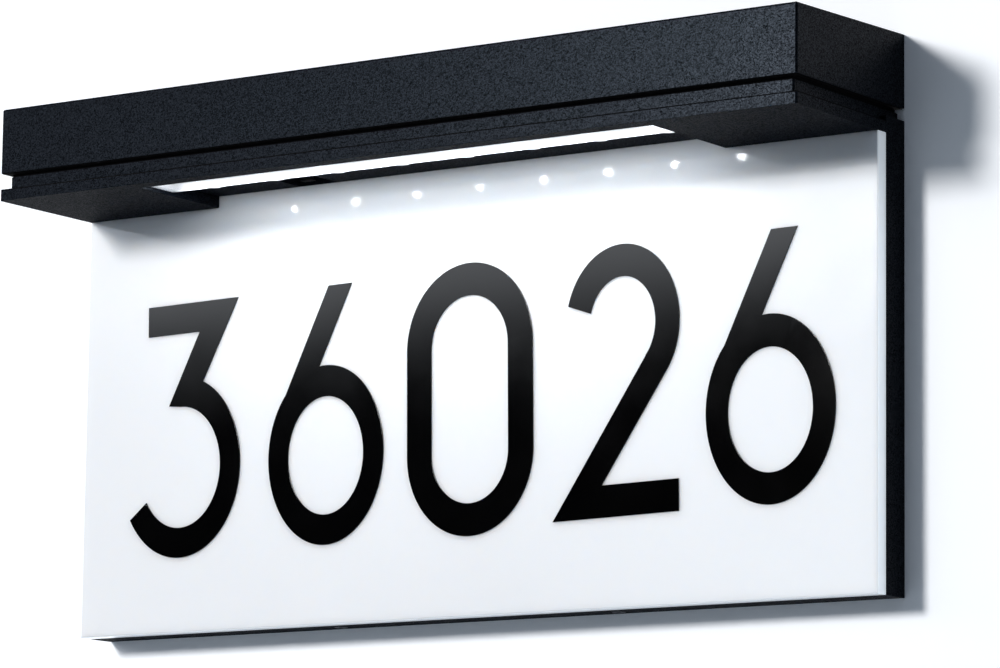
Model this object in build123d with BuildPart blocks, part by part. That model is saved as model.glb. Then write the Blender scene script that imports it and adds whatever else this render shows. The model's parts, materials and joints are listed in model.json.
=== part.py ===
from build123d import *
import math
import os

os.makedirs("parts", exist_ok=True)

# A lit house number sign: a hood with lamps over a white face panel with numerals, on a back plate
# that hangs on a wall bracket. Millimetres, X to the right, Y into the wall, Z up. The wall is the
# plane Y = 0, and the origin is the centre of the bracket's four wall holes.

# ---- driving dimensions ----

# Whole sign
sign_width = 400.0
hood_depth = 82.0
sign_height = 223.0  # hood's top front edge to the sign's bottom edge
hood_top = 130.0  # hood's top front edge above the wall holes' centre
roof_slope = 0.03  # the roof rises towards the wall by this much per millimetre
edge_radius = 1.0
fit_gap = 0.3  # between pieces that are slid or laid together

# Hood, from the top down
housing_height = 28.0
seal_height = 1.6
tray_height = 5.4
plate_height = 5.0
housing_wall = 3.0
flange_width = 9.0
flange_height = 2.5
band_inset = 3.2  # the tray's rim behind the hood's faces
seal_inset = 3.8
seal_width = 5.0
seal_rear_inset = 1.0
seal_rear_width = 10.0
spigot_height = 3.2
spigot_wall = 1.6
spigot_gap = 0.4
hook_length = 14.0
hook_nose = 1.5
hook_height = 2.0
hook_count = 4
hook_end = 50.0  # first and last hook from the hood's ends

# Solar panel in the roof
solar_end = 50.0  # roof left beside the panel
solar_side = 13.0  # roof left in front of and behind it
solar_ledge = 3.5
cover_recess = 0.4
cover_height = 1.6
cell_height = 0.3
solar_board_height = 1.0
gasket_height = 0.6
cell_count = 12
cell_gap = 0.8
cell_row_end = 3.6
cell_row_side = 4.5
window_floor = 1.7  # roof left under the gasket
window_margin = 5.0

# Face panel, back plate and bracket
panel_thickness = 6.0
panel_chamfer = 0.4
back_depth = 14.5
back_wall = 3.0
rim_rise = 2.0  # side rims stand up beside the tray
rib_wall = 2.0
rib_clearance = 0.7  # ribs stop short of the bracket
hang_drop = 37.0  # seat of the hanging rib on the bracket's shelf, under the back plate's top
hang_rib_height = 8.0
hang_rib_end = 50.0
side_rib_place = 116.0
tape_end = 30.0
tape_width = 10.0
tape_height = 0.5
tape_count = 4
tape_margin = 19.5  # first and last strip from the panel's edges
bracket_sheet = 1.5
bracket_width = 220.0
bracket_foot_rise = 9.0  # the bracket's foot above the sign's bottom edge
bracket_window_width = 120.0
bracket_window_height = 84.0
bracket_hole_radius = 2.6
bracket_hole_span_x = 180.0
bracket_hole_span_z = 100.0
shelf_length = 150.0
shelf_gap = 3.0  # shelf stops short of the back plate's wall
lip_height = 5.0
foot_tab_length = 24.0
foot_tab_gap = 1.5
foot_tab_place = 70.0

# Cut-out, lens and lamps
cutout_length = 258.0
front_rim = 7.9  # plate left in front of the cut-out
lens_width = 21.5
lens_height = 2.7
lens_gap = 0.15
lens_seal_height = 0.3
channel_wall = 1.5  # lens stands past the lamp channel by this much
channel_end = 3.0
channel_depth = 3.0
led_count = 8
led_end = 11.55  # first and last lamp from the channel's ends
led_length = 3.5
led_width = 2.8
led_height = 0.8
led_offset = 6.3  # lamps stand this much nearer the face panel than the channel's middle
led_board_height = 1.0
led_board_gap = 0.6
resistor_size = (2.0, 1.3, 0.5)
led_plug_length = 6.0
led_plug_width = 5.0
led_plug_rise = 6.6  # above the tray

# Switch in its pocket
pocket_x = -75.0
pocket_length = 20.0
pocket_width = 16.8
switch_travel = 3.0
switch_line = -26.0  # the knob's path runs along X at this Y
knob_length = 4.0
knob_width = 3.0
knob_tip = 1.0  # above the tray's underside
slider_length = 8.0
slider_width = 4.6
slider_height = 2.6
switch_length = 19.6
switch_width = 8.0
switch_height = 6.4
switch_floor = 0.8
switch_gasket_height = 0.8
switch_gasket_width = 1.5
mount_height = 2.0
mount_margin_x = 6.0
mount_margin_y = 4.2
pin_length = 3.0
pin_rise = 3.8

# Boards and battery on the tray
board_length = 60.0
board_width = 38.0
board_offset = 22.35  # middle of the board behind the middle of the lamp channel
board_height = 1.6
standoff_height = 4.6
standoff_radius = 2.6
standoff_margin = 4.0
connector_length = 6.0
connector_width = 5.2
connector_height = 4.4
connector_pitch = 9.5
chip_size = (10.0, 10.0, 1.6)
coil_radius = 4.6
coil_height = 5.0
capacitor_radius = 4.0
capacitor_height = 10.0
parts_offset_x = 9.0
parts_offset_y = 7.0
cell_radius = 9.1
battery_length = 65.0
battery_pitch = 19.6
nub_radius = 3.0
nub_length = 1.0
holder_start = 58.0
holder_wall = 2.0
holder_base = 1.6
holder_side_height = 9.0
holder_end_height = 16.0
contact_sheet = 0.5
contact_width = 9.0
contact_height = 9.0
tab_width = 2.4
tab_height = 0.8

# Wires
wire_radius = 0.6
wire_pitch = 2.2
wire_level = 2.4  # above the control board
arc_share = 0.45
lead_share = 0.3  # first and last run of a lead, as a share of its way along X
solar_lead_place = 18.0  # beside the board's end
solar_lead_drop = 6.0

# Screws
m3_radius = 1.5
m3_clear = 1.7
m3_thread = 1.55
m3_head_radius = 2.8
m3_head_height = 2.0
m3_hex = 1.15  # corner radius of the hexagon socket
small_radius = 1.1
small_thread = 1.15
small_head_radius = 2.0
small_head_height = 1.4
small_hex = 0.9
socket_share = 0.7  # socket's depth as a share of the head
hood_screw_length = 20.0
hood_screw_end = 30.0
hood_screw_inner = 60.0
boss_radius = 4.5
boss_height = 14.0
thread_spare = 1.0  # hole beyond a screw's tip
plate_screw_inner = 16.0  # from the cut-out's end or the battery holder's
plate_screw_outer = 20.0  # from the sign's end
plate_screw_front = 20.0  # from the hood's front
plate_screw_rear = 9.5  # in front of the face panel
plate_screw_bite = 3.9
small_screw_bite = 4.0
locking_screw_length = 13.0
locking_head_radius = 2.9
locking_head_height = 1.6

# Numerals, drawn on a height of 110 and placed along their row from its middle
drawn_height = 110.0
numeral_height = 110.0
three_place = -144.5
six_left_place = -69.0
zero_place = 5.2
two_place = 77.4
six_right_place = 150.6
numeral_thickness = 0.5
numeral_row_drop = 1.5  # middle of the row under the panel's middle
numeral_row_slope = 1.05  # degrees, the stuck-on row climbs a little to the right

# ---- levels and planes that follow ----

front_y = -hood_depth
half_width = sign_width / 2
housing_base = hood_top - housing_height
flange_top = housing_base + flange_height
tray_top = housing_base - seal_height
plate_top = tray_top - tray_height
underside = plate_top - plate_height
sign_bottom = hood_top - sign_height
back_front = -back_depth
panel_front = back_front - panel_thickness
rim_wall = band_inset - fit_gap
screw_line = back_front / 2
hang_height = plate_top - hang_drop
bracket_foot = sign_bottom + bracket_foot_rise
shelf_depth = back_depth - back_wall - shelf_gap
foot_tab_depth = back_depth - back_wall - foot_tab_gap
tape_length = sign_width - 2 * tape_end
tape_pitch = (underside - sign_bottom - 2 * tape_margin) / (tape_count - 1)
tape_places = [sign_bottom + tape_margin + i * tape_pitch for i in range(tape_count)]
hook_pitch = (sign_width - 2 * hook_end) / (hook_count - 1)
hook_places = [hook_end - half_width + i * hook_pitch for i in range(hook_count)]
cutout_front = front_y + front_rim
lens_rear = cutout_front + lens_width
channel_front = cutout_front + channel_wall
channel_rear = lens_rear - channel_wall
channel_y = (channel_front + channel_rear) / 2
channel_width = channel_rear - channel_front
channel_length = cutout_length - 2 * channel_end
led_line = channel_y + led_offset
led_pitch = (channel_length - 2 * led_end) / (led_count - 1)
led_plug_place = -2 * led_pitch
led_board_bottom = plate_top + channel_depth - led_board_height
pocket_y = panel_front - pocket_width / 2
solar_length = sign_width - 2 * solar_end
solar_width = hood_depth - 2 * solar_side
solar_mid_y = front_y / 2
cell_pitch = (solar_length - 2 * cell_row_end) / cell_count
cell_length = cell_pitch - cell_gap
cell_width = solar_width - 2 * cell_row_side
recess_depth = cover_recess + cover_height + cell_height + solar_board_height + gasket_height
board_y = channel_y + board_offset
board_bottom = tray_top + standoff_height
board_top = board_bottom + board_height
wire_z = board_top + wire_level
holder_length = battery_length + 2 * contact_sheet + 2 * holder_wall
holder_end = holder_start + holder_length
holder_x = holder_start + holder_length / 2


def roof_at(y):
    # Height of the roof's outer surface at a depth y
    return hood_top + roof_slope * (y - front_y)


roof_plane = Plane(
    origin=(0, solar_mid_y, roof_at(solar_mid_y)),
    x_dir=(1, 0, 0),
    z_dir=(0, -roof_slope, 1),
)


def block(x_span, y_span, z_span, mode=Mode.ADD):
    # A box between two values on each axis
    spans = (x_span, y_span, z_span)
    middle = tuple((span[0] + span[1]) / 2 for span in spans)
    size = tuple(span[1] - span[0] for span in spans)
    with Locations(middle):
        Box(*size, mode=mode)


def post(x, y, z, radius, height, mode=Mode.ADD):
    # An upright round post or hole from z upwards
    with Locations((x, y, z)):
        Cylinder(radius, height, align=(Align.CENTER, Align.CENTER, Align.MIN), mode=mode)


def save(piece, label):
    piece.part.label = label
    export_step(piece.part, f"parts/{label}.step")


# ---- hood ----

hood_screw_far = half_width - hood_screw_end
hood_screw_spots = [
    (x, screw_line) for x in (-hood_screw_far, -hood_screw_inner, hood_screw_inner, hood_screw_far)
]
plate_screw_near = max(cutout_length / 2, holder_end) + plate_screw_inner
plate_screw_far = half_width - plate_screw_outer
plate_screw_places = (
    (plate_screw_near, front_y + plate_screw_front),
    (plate_screw_far, front_y + plate_screw_front),
    ((plate_screw_near + plate_screw_far) / 2, panel_front - plate_screw_rear),
)
plate_screw_spots = [(side * x, y) for side in (-1, 1) for x, y in plate_screw_places]

with BuildPart() as upper_housing:
    with BuildSketch(Plane.YZ.offset(-half_width)):
        Polygon(
            (front_y, housing_base),
            (0, housing_base),
            (0, roof_at(0)),
            (front_y, hood_top),
            align=None,
        )
    extrude(amount=sign_width)
    front_posts = upper_housing.edges().filter_by(Axis.Z).group_by(Axis.Y)[0]
    roof_face = upper_housing.faces().sort_by(Axis.Z)[-1]
    roof_edges = roof_face.edges().sort_by(Axis.Y)[:-1]
    fillet(front_posts + roof_edges, radius=edge_radius)
    # Room inside, over a flange that the seal presses on
    with BuildSketch(Plane.YZ.offset(housing_wall - half_width)):
        Polygon(
            (front_y + housing_wall, flange_top),
            (-housing_wall, flange_top),
            (-housing_wall, roof_at(-housing_wall) - housing_wall),
            (front_y + housing_wall, roof_at(front_y + housing_wall) - housing_wall),
            align=None,
        )
    extrude(amount=sign_width - 2 * housing_wall, mode=Mode.SUBTRACT)
    block(
        (flange_width - half_width, half_width - flange_width),
        (front_y + flange_width, -flange_width),
        (housing_base, flange_top),
        mode=Mode.SUBTRACT,
    )
    # Bosses for the screws that come up through the back plate and the tray
    for x, y in hood_screw_spots:
        post(x, y, housing_base, boss_radius, boss_height)
    for x, y in hood_screw_spots:
        bite = hood_screw_length - (housing_base - plate_top + back_wall)
        post(x, y, housing_base, m3_thread, bite + thread_spare, mode=Mode.SUBTRACT)
    # Frame, recess and window for the solar panel
    with BuildSketch(roof_plane.offset(-recess_depth - window_floor)):
        Rectangle(solar_length + 2 * window_margin, solar_width + 2 * window_margin)
    extrude(amount=recess_depth)
    with BuildSketch(roof_plane.offset(-recess_depth)):
        Rectangle(solar_length + 2 * fit_gap, solar_width + 2 * fit_gap)
    extrude(amount=2 * recess_depth, mode=Mode.SUBTRACT)
    with BuildSketch(roof_plane.offset(-2 * recess_depth)):
        Rectangle(solar_length - 2 * solar_ledge, solar_width - 2 * solar_ledge)
    extrude(amount=2 * recess_depth, mode=Mode.SUBTRACT)
save(upper_housing, "upper_housing")

with BuildPart() as solar_gasket:
    with BuildSketch(roof_plane.offset(-recess_depth)):
        Rectangle(solar_length, solar_width)
        Rectangle(
            solar_length - 2 * solar_ledge,
            solar_width - 2 * solar_ledge,
            mode=Mode.SUBTRACT,
        )
    extrude(amount=gasket_height)
save(solar_gasket, "solar_gasket")

with BuildPart() as solar_board:
    with BuildSketch(roof_plane.offset(gasket_height - recess_depth)):
        Rectangle(solar_length, solar_width)
    extrude(amount=solar_board_height)
save(solar_board, "solar_board")

with BuildPart() as solar_cells:
    with BuildSketch(roof_plane.offset(-cover_recess - cover_height - cell_height)):
        with GridLocations(cell_pitch, 0, cell_count, 1):
            Rectangle(cell_length, cell_width)
    extrude(amount=cell_height)
save(solar_cells, "solar_cells")

with BuildPart() as solar_cover:
    with BuildSketch(roof_plane.offset(-cover_recess - cover_height)):
        RectangleRounded(solar_length, solar_width, edge_radius)
    extrude(amount=cover_height)
save(solar_cover, "solar_cover")

with BuildPart() as housing_seal:
    block(
        (seal_inset - half_width, half_width - seal_inset),
        (front_y + seal_inset, -seal_rear_inset),
        (tray_top, housing_base),
    )
    block(
        (seal_inset + seal_width - half_width, half_width - seal_inset - seal_width),
        (front_y + seal_inset + seal_width, -seal_rear_inset - seal_rear_width),
        (tray_top, housing_base),
        mode=Mode.SUBTRACT,
    )
    for x, y in hood_screw_spots:
        post(x, y, tray_top, m3_clear + fit_gap, seal_height, mode=Mode.SUBTRACT)
save(housing_seal, "housing_seal")

# ---- light tray, with the lamp channel below and seats for the electrical parts above ----

spigot_half = half_width - flange_width - spigot_gap
spigot_front = front_y + flange_width + spigot_gap
spigot_rear = screw_line - boss_radius - 2 * fit_gap
tray_holes = hood_screw_spots + plate_screw_spots
standoff_x = board_length / 2 - standoff_margin
standoff_y = board_width / 2 - standoff_margin
standoff_spots = [
    (side_x * standoff_x, board_y + side_y * standoff_y) for side_x in (-1, 1) for side_y in (-1, 1)
]
holder_width = battery_pitch + 2 * cell_radius + 2 * holder_wall + 2 * fit_gap
holder_screw_spots = [(holder_x + side * holder_length / 4, board_y) for side in (-1, 1)]
mount_screw_place = pocket_length / 2 + switch_gasket_width + small_head_radius
mount_screw_spots = [(pocket_x + side * mount_screw_place, pocket_y) for side in (-1, 1)]

with BuildPart() as light_tray:
    with BuildSketch(Plane.XY.offset(plate_top)):
        with Locations((0, (front_y + band_inset) / 2)):
            Rectangle(sign_width - 2 * band_inset, hood_depth - band_inset)
    extrude(amount=tray_height)
    fillet(light_tray.edges().filter_by(Axis.Z).group_by(Axis.Y)[0], radius=edge_radius)
    # Spigot inside the housing's flange, along the front and both ends
    block((-spigot_half, spigot_half), (spigot_front, spigot_rear), (tray_top, tray_top + spigot_height))
    block(
        (spigot_wall - spigot_half, spigot_half - spigot_wall),
        (spigot_front + spigot_wall, spigot_rear),
        (tray_top, tray_top + spigot_height),
        mode=Mode.SUBTRACT,
    )
    # Hooks that snap over the flange
    nose_bottom = flange_top + fit_gap
    nose_top = nose_bottom + hook_height
    for x in hook_places:
        with BuildSketch(Plane.YZ.offset(x - hook_length / 2)):
            Polygon(
                (spigot_front, tray_top),
                (spigot_front + spigot_wall, tray_top),
                (spigot_front + spigot_wall, nose_top),
                (spigot_front, nose_top),
                (spigot_front - hook_nose, nose_bottom + hook_height / 3),
                (spigot_front - hook_nose, nose_bottom),
                (spigot_front, nose_bottom),
                align=None,
            )
        extrude(amount=hook_length)
    for x, y in standoff_spots:
        post(x, y, tray_top, standoff_radius, standoff_height)
    # Lamp channel, switch pocket and the lamp plug's slot
    block(
        (-channel_length / 2, channel_length / 2),
        (channel_front, channel_rear),
        (plate_top, plate_top + channel_depth),
        mode=Mode.SUBTRACT,
    )
    block(
        (pocket_x - pocket_length / 2, pocket_x + pocket_length / 2),
        (panel_front - pocket_width, panel_front),
        (plate_top, tray_top),
        mode=Mode.SUBTRACT,
    )
    with BuildSketch(Plane.XY.offset(plate_top)):
        with Locations((led_plug_place, channel_y)):
            Rectangle(led_plug_length + 2 * fit_gap, led_plug_width + 2 * fit_gap)
    extrude(amount=tray_height, mode=Mode.SUBTRACT)
    # Screw holes
    for x, y in tray_holes:
        post(x, y, plate_top, m3_clear, tray_height, mode=Mode.SUBTRACT)
    for x, y in standoff_spots:
        hole_bottom = board_bottom - small_screw_bite
        post(x, y, hole_bottom, small_thread, small_screw_bite, mode=Mode.SUBTRACT)
    for x, y in holder_screw_spots + mount_screw_spots:
        hole_bottom = tray_top - small_screw_bite
        post(x, y, hole_bottom, small_thread, small_screw_bite, mode=Mode.SUBTRACT)
save(light_tray, "light_tray")

# ---- bottom plate, lens and lamps ----

with BuildPart() as bottom_plate:
    with BuildSketch(Plane.XY.offset(underside)):
        with Locations((0, (front_y + back_front) / 2)):
            Rectangle(sign_width, hood_depth - back_depth)
        with Locations((0, (cutout_front + back_front) / 2)):
            Rectangle(cutout_length, back_front - cutout_front, mode=Mode.SUBTRACT)
    extrude(amount=plate_height)
    fillet(bottom_plate.edges().filter_by(Axis.Z).group_by(Axis.Y)[0], radius=edge_radius)
    for x, y in plate_screw_spots:
        depth = plate_screw_bite + thread_spare / 2
        post(x, y, plate_top - depth, m3_thread, depth, mode=Mode.SUBTRACT)
save(bottom_plate, "bottom_plate")

lens_half = cutout_length / 2 - lens_gap
lens_front = cutout_front + lens_gap
lens_top = plate_top - lens_seal_height

with BuildPart() as lens_seal:
    block((-lens_half, lens_half), (lens_front, lens_rear), (lens_top, plate_top))
    block(
        (-channel_length / 2, channel_length / 2),
        (channel_front, channel_rear),
        (lens_top, plate_top),
        mode=Mode.SUBTRACT,
    )
save(lens_seal, "lens_seal")

with BuildPart() as lens:
    block((-lens_half, lens_half), (lens_front, lens_rear), (lens_top - lens_height, lens_top))
    chamfer(lens.faces().sort_by(Axis.Z)[0].edges(), length=fit_gap)
save(lens, "lens")

led_board_length = channel_length - 2 * led_board_gap
led_board_width = channel_width - 2 * led_board_gap

with BuildPart() as led_board:
    with BuildSketch(Plane.XY.offset(led_board_bottom)):
        with Locations((0, channel_y)):
            Rectangle(led_board_length, led_board_width)
    extrude(amount=led_board_height)
save(led_board, "led_board")

with BuildPart() as led_chips:
    with BuildSketch(Plane.XY.offset(led_board_bottom)):
        with Locations((0, led_line)):
            with GridLocations(led_pitch, 0, led_count, 1):
                Rectangle(led_length, led_width)
    extrude(amount=-led_height)
save(led_chips, "led_chips")

with BuildPart() as led_resistors:
    with BuildSketch(Plane.XY.offset(led_board_bottom)):
        with Locations((0, channel_y)):
            with GridLocations(led_pitch, 0, led_count, 1):
                Rectangle(resistor_size[0], resistor_size[1])
    extrude(amount=-resistor_size[2])
save(led_resistors, "led_resistors")

with BuildPart() as led_plug:
    plug_bottom = led_board_bottom + led_board_height
    plug_top = tray_top + led_plug_rise
    with BuildSketch(Plane.XY.offset(plug_bottom)):
        with Locations((led_plug_place, channel_y)):
            Rectangle(led_plug_length, led_plug_width)
    extrude(amount=plug_top - plug_bottom)
save(led_plug, "led_plug")

# ---- slide switch over the pocket ----

gasket_top = tray_top + switch_gasket_height
mount_top = gasket_top + mount_height
switch_floor_top = mount_top + switch_floor
slider_bottom = switch_floor_top + fit_gap
slot_length = knob_length + switch_travel + 2 * fit_gap
slot_width = knob_width + 2 * fit_gap
knob_x = pocket_x - switch_travel / 2

with BuildPart() as switch_gasket:
    with BuildSketch(Plane.XY.offset(tray_top)):
        with Locations((pocket_x, pocket_y)):
            Rectangle(pocket_length + 2 * switch_gasket_width, pocket_width + 2 * switch_gasket_width)
            Rectangle(pocket_length, pocket_width, mode=Mode.SUBTRACT)
    extrude(amount=switch_gasket_height)
save(switch_gasket, "switch_gasket")

with BuildPart() as switch_mount:
    with BuildSketch(Plane.XY.offset(gasket_top)):
        with Locations((pocket_x, pocket_y)):
            RectangleRounded(
                pocket_length + 2 * mount_margin_x,
                pocket_width + 2 * mount_margin_y,
                2 * edge_radius,
            )
        with Locations((pocket_x, switch_line)):
            Rectangle(slot_length, slot_width, mode=Mode.SUBTRACT)
        with Locations(*mount_screw_spots):
            Circle(small_radius + fit_gap, mode=Mode.SUBTRACT)
    extrude(amount=mount_height)
    # Feet at the two screws, down to the tray
    with BuildSketch(Plane.XY.offset(tray_top)):
        with Locations(*mount_screw_spots):
            Circle(small_head_radius - fit_gap)
            Circle(small_radius + fit_gap, mode=Mode.SUBTRACT)
    extrude(amount=switch_gasket_height)
save(switch_mount, "switch_mount")

with BuildPart() as switch_body:
    with BuildSketch(Plane.XY.offset(mount_top)):
        with Locations((pocket_x, switch_line)):
            RectangleRounded(switch_length, switch_width, edge_radius / 2)
    extrude(amount=switch_height)
    # Room for the slider, and the slot that the knob's stem runs in
    with BuildSketch(Plane.XY.offset(switch_floor_top)):
        with Locations((pocket_x, switch_line)):
            Rectangle(slider_length + switch_travel + 2 * fit_gap, slider_width + 2 * fit_gap)
    extrude(amount=slider_height + 2 * fit_gap, mode=Mode.SUBTRACT)
    with BuildSketch(Plane.XY.offset(mount_top)):
        with Locations((pocket_x, switch_line)):
            Rectangle(slot_length, slot_width)
    extrude(amount=switch_floor, mode=Mode.SUBTRACT)
save(switch_body, "switch_body")

with BuildPart() as switch_knob:
    knob_bottom = plate_top + knob_tip
    with BuildSketch(Plane.XY.offset(knob_bottom)):
        with Locations((knob_x, switch_line)):
            Rectangle(knob_length, knob_width)
    extrude(amount=slider_bottom - knob_bottom)
    chamfer(switch_knob.faces().sort_by(Axis.Z)[0].edges(), length=fit_gap)
    with BuildSketch(Plane.XY.offset(slider_bottom)):
        with Locations((knob_x, switch_line)):
            Rectangle(slider_length, slider_width)
    extrude(amount=slider_height)
save(switch_knob, "switch_knob")

pin_start = pocket_x + switch_length / 2
pin_end = pin_start + pin_length
pin_z = mount_top + pin_rise

with BuildPart() as switch_pins:
    with BuildSketch(Plane.YZ.offset(pin_start)):
        with Locations((switch_line, pin_z)):
            with GridLocations(0, wire_pitch, 1, 2):
                Rectangle(2 * wire_radius, wire_radius)
    extrude(amount=pin_length)
save(switch_pins, "switch_pins")

# ---- control board and battery ----

connector_end = board_length / 2
connector_rows = {
    "led": board_y - connector_pitch,
    "solar": board_y,
    "switch": board_y + connector_pitch,
}
battery_row = board_y

with BuildPart() as control_board:
    with BuildSketch(Plane.XY.offset(board_bottom)):
        with Locations((0, board_y)):
            RectangleRounded(board_length, board_width, edge_radius)
        with Locations(*standoff_spots):
            Circle(small_radius + fit_gap / 2, mode=Mode.SUBTRACT)
    extrude(amount=board_height)
save(control_board, "control_board")

with BuildPart() as control_parts:
    # Wire connectors on the two ends, then the chip, coil and capacitor
    with BuildSketch(Plane.XY.offset(board_top)):
        for row in connector_rows.values():
            with Locations((connector_length / 2 - connector_end, row)):
                Rectangle(connector_length, connector_width)
        with Locations((connector_end - connector_length / 2, battery_row)):
            Rectangle(connector_length, connector_width)
    extrude(amount=connector_height)
    with BuildSketch(Plane.XY.offset(board_top)):
        with Locations((parts_offset_x, board_y - parts_offset_y)):
            Rectangle(chip_size[0], chip_size[1])
    extrude(amount=chip_size[2])
    post(-parts_offset_x, board_y + parts_offset_y, board_top, coil_radius, coil_height)
    post(parts_offset_x, board_y + parts_offset_y, board_top, capacitor_radius, capacitor_height)
save(control_parts, "control_parts")

contact_level = tray_top + holder_base + cell_radius
cell_start = holder_start + holder_wall + contact_sheet
cell_end = cell_start + battery_length
tab_z = wire_z

with BuildPart() as battery_holder:
    side_y = holder_width / 2
    block(
        (holder_start, holder_end),
        (board_y - side_y, board_y + side_y),
        (tray_top, tray_top + holder_end_height),
    )
    block(
        (holder_start + holder_wall, holder_end - holder_wall),
        (board_y - side_y + holder_wall, board_y + side_y - holder_wall),
        (tray_top + holder_base, tray_top + holder_end_height),
        mode=Mode.SUBTRACT,
    )
    block(
        (holder_start + holder_wall, holder_end - holder_wall),
        (board_y - side_y, board_y + side_y),
        (tray_top + holder_side_height, tray_top + holder_end_height),
        mode=Mode.SUBTRACT,
    )
    for side in (-1, 1):
        with Locations((holder_start, board_y + side * battery_pitch / 2, tab_z)):
            Box(4 * holder_wall, tab_width + fit_gap, tab_height + fit_gap, mode=Mode.SUBTRACT)
    for x, y in holder_screw_spots:
        post(x, y, tray_top, small_radius + fit_gap, holder_base, mode=Mode.SUBTRACT)
save(battery_holder, "battery_holder")

with BuildPart() as battery_cells:
    # The two cells point opposite ways, so both leads leave at one end
    for side in (-1, 1):
        can_start = cell_start + (nub_length if side < 0 else 0)
        nub_start = cell_start if side < 0 else cell_end - nub_length
        cell_y = board_y + side * battery_pitch / 2
        with BuildSketch(Plane.YZ.offset(can_start)):
            with Locations((cell_y, contact_level)):
                Circle(cell_radius)
        extrude(amount=battery_length - nub_length)
        with BuildSketch(Plane.YZ.offset(nub_start)):
            with Locations((cell_y, contact_level)):
                Circle(nub_radius)
        extrude(amount=nub_length)
save(battery_cells, "battery_cells")

with BuildPart() as battery_contacts:
    # Two plates with solder tabs at the lead end, one bridge at the other
    for side in (-1, 1):
        with BuildSketch(Plane.YZ.offset(cell_start - contact_sheet)):
            with Locations((board_y + side * battery_pitch / 2, contact_level)):
                Rectangle(contact_width, contact_height)
        extrude(amount=contact_sheet)
        block(
            (holder_start - holder_wall / 2, cell_start - contact_sheet),
            (
                board_y + side * battery_pitch / 2 - tab_width / 2,
                board_y + side * battery_pitch / 2 + tab_width / 2,
            ),
            (tab_z - tab_height / 2, tab_z + tab_height / 2),
        )
    with BuildSketch(Plane.YZ.offset(cell_end)):
        with Locations((board_y, contact_level)):
            Rectangle(battery_pitch + contact_width, contact_height)
    extrude(amount=contact_sheet)
save(battery_contacts, "battery_contacts")

# ---- wires ----


def bend_radii(route):
    # Each bend is as wide as its two runs allow
    corners = [Vector(*point) for point in route]
    radii = []
    for before, corner, after in zip(corners, corners[1:], corners[2:]):
        turn = math.radians((corner - before).get_angle(after - corner))
        shorter = min((corner - before).length, (after - corner).length)
        radii.append(arc_share * shorter / math.tan(turn / 2))
    print("bend radii", [round(radius, 1) for radius in radii])
    return radii


def lead_route(start, end):
    # A lead that leaves and arrives along X, with a slanted run between
    run = lead_share * (end[0] - start[0])
    return [start, (start[0] + run, start[1], start[2]), (end[0] - run, end[1], end[2]), end]


connector_face = -connector_end
led_wire_start = led_plug_place + led_plug_length / 2
led_wire_z = tray_top + led_plug_rise - wire_pitch
solar_wire_x = connector_face - solar_lead_place
solar_wire_top = roof_at(board_y) - recess_depth + gasket_height - fit_gap / 2

with BuildPart() as led_wires:
    for rise in (-wire_pitch / 2, wire_pitch / 2):
        with BuildLine():
            led_route = lead_route(
                (led_wire_start, channel_y, led_wire_z + rise),
                (connector_face, connector_rows["led"], wire_z + rise),
            )
            FilletPolyline(*led_route, radius=bend_radii(led_route))
        with BuildSketch(Plane(origin=led_route[0], z_dir=(1, 0, 0))):
            Circle(wire_radius)
        sweep()
save(led_wires, "led_wires")

with BuildPart() as solar_wires:
    for side in (-wire_pitch / 2, wire_pitch / 2):
        board_row = connector_rows["solar"] + side
        with BuildLine():
            solar_route = [
                (solar_wire_x, board_row, solar_wire_top),
                (solar_wire_x, board_row, wire_z + solar_lead_drop),
                (solar_wire_x + solar_lead_drop, board_row, wire_z),
                (connector_face, board_row, wire_z),
            ]
            FilletPolyline(*solar_route, radius=bend_radii(solar_route))
        with BuildSketch(Plane(origin=solar_route[0], z_dir=(0, 0, -1))):
            Circle(wire_radius)
        sweep()
save(solar_wires, "solar_wires")

with BuildPart() as switch_wires:
    for rise in (-wire_pitch / 2, wire_pitch / 2):
        with BuildLine():
            switch_route = lead_route(
                (pin_end, switch_line, pin_z + rise),
                (connector_face, connector_rows["switch"], wire_z + rise),
            )
            FilletPolyline(*switch_route, radius=bend_radii(switch_route))
        with BuildSketch(Plane(origin=switch_route[0], z_dir=(1, 0, 0))):
            Circle(wire_radius)
        sweep()
save(switch_wires, "switch_wires")

with BuildPart() as battery_wires:
    tab_end = holder_start - holder_wall / 2
    for side in (-1, 1):
        tab_row = board_y + side * battery_pitch / 2
        board_row = battery_row + side * wire_pitch / 2
        with BuildLine():
            battery_route = lead_route((tab_end, tab_row, wire_z), (connector_end, board_row, wire_z))
            FilletPolyline(*battery_route, radius=bend_radii(battery_route))
        with BuildSketch(Plane(origin=battery_route[0], z_dir=(-1, 0, 0))):
            Circle(wire_radius)
        sweep()
save(battery_wires, "battery_wires")

# ---- back plate ----

cavity_top = plate_top - back_wall
cavity_bottom = sign_bottom + rim_wall
rib_rear = -bracket_sheet - rib_clearance
locking_y = -foot_tab_depth / 2 - bracket_sheet / 2

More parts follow.
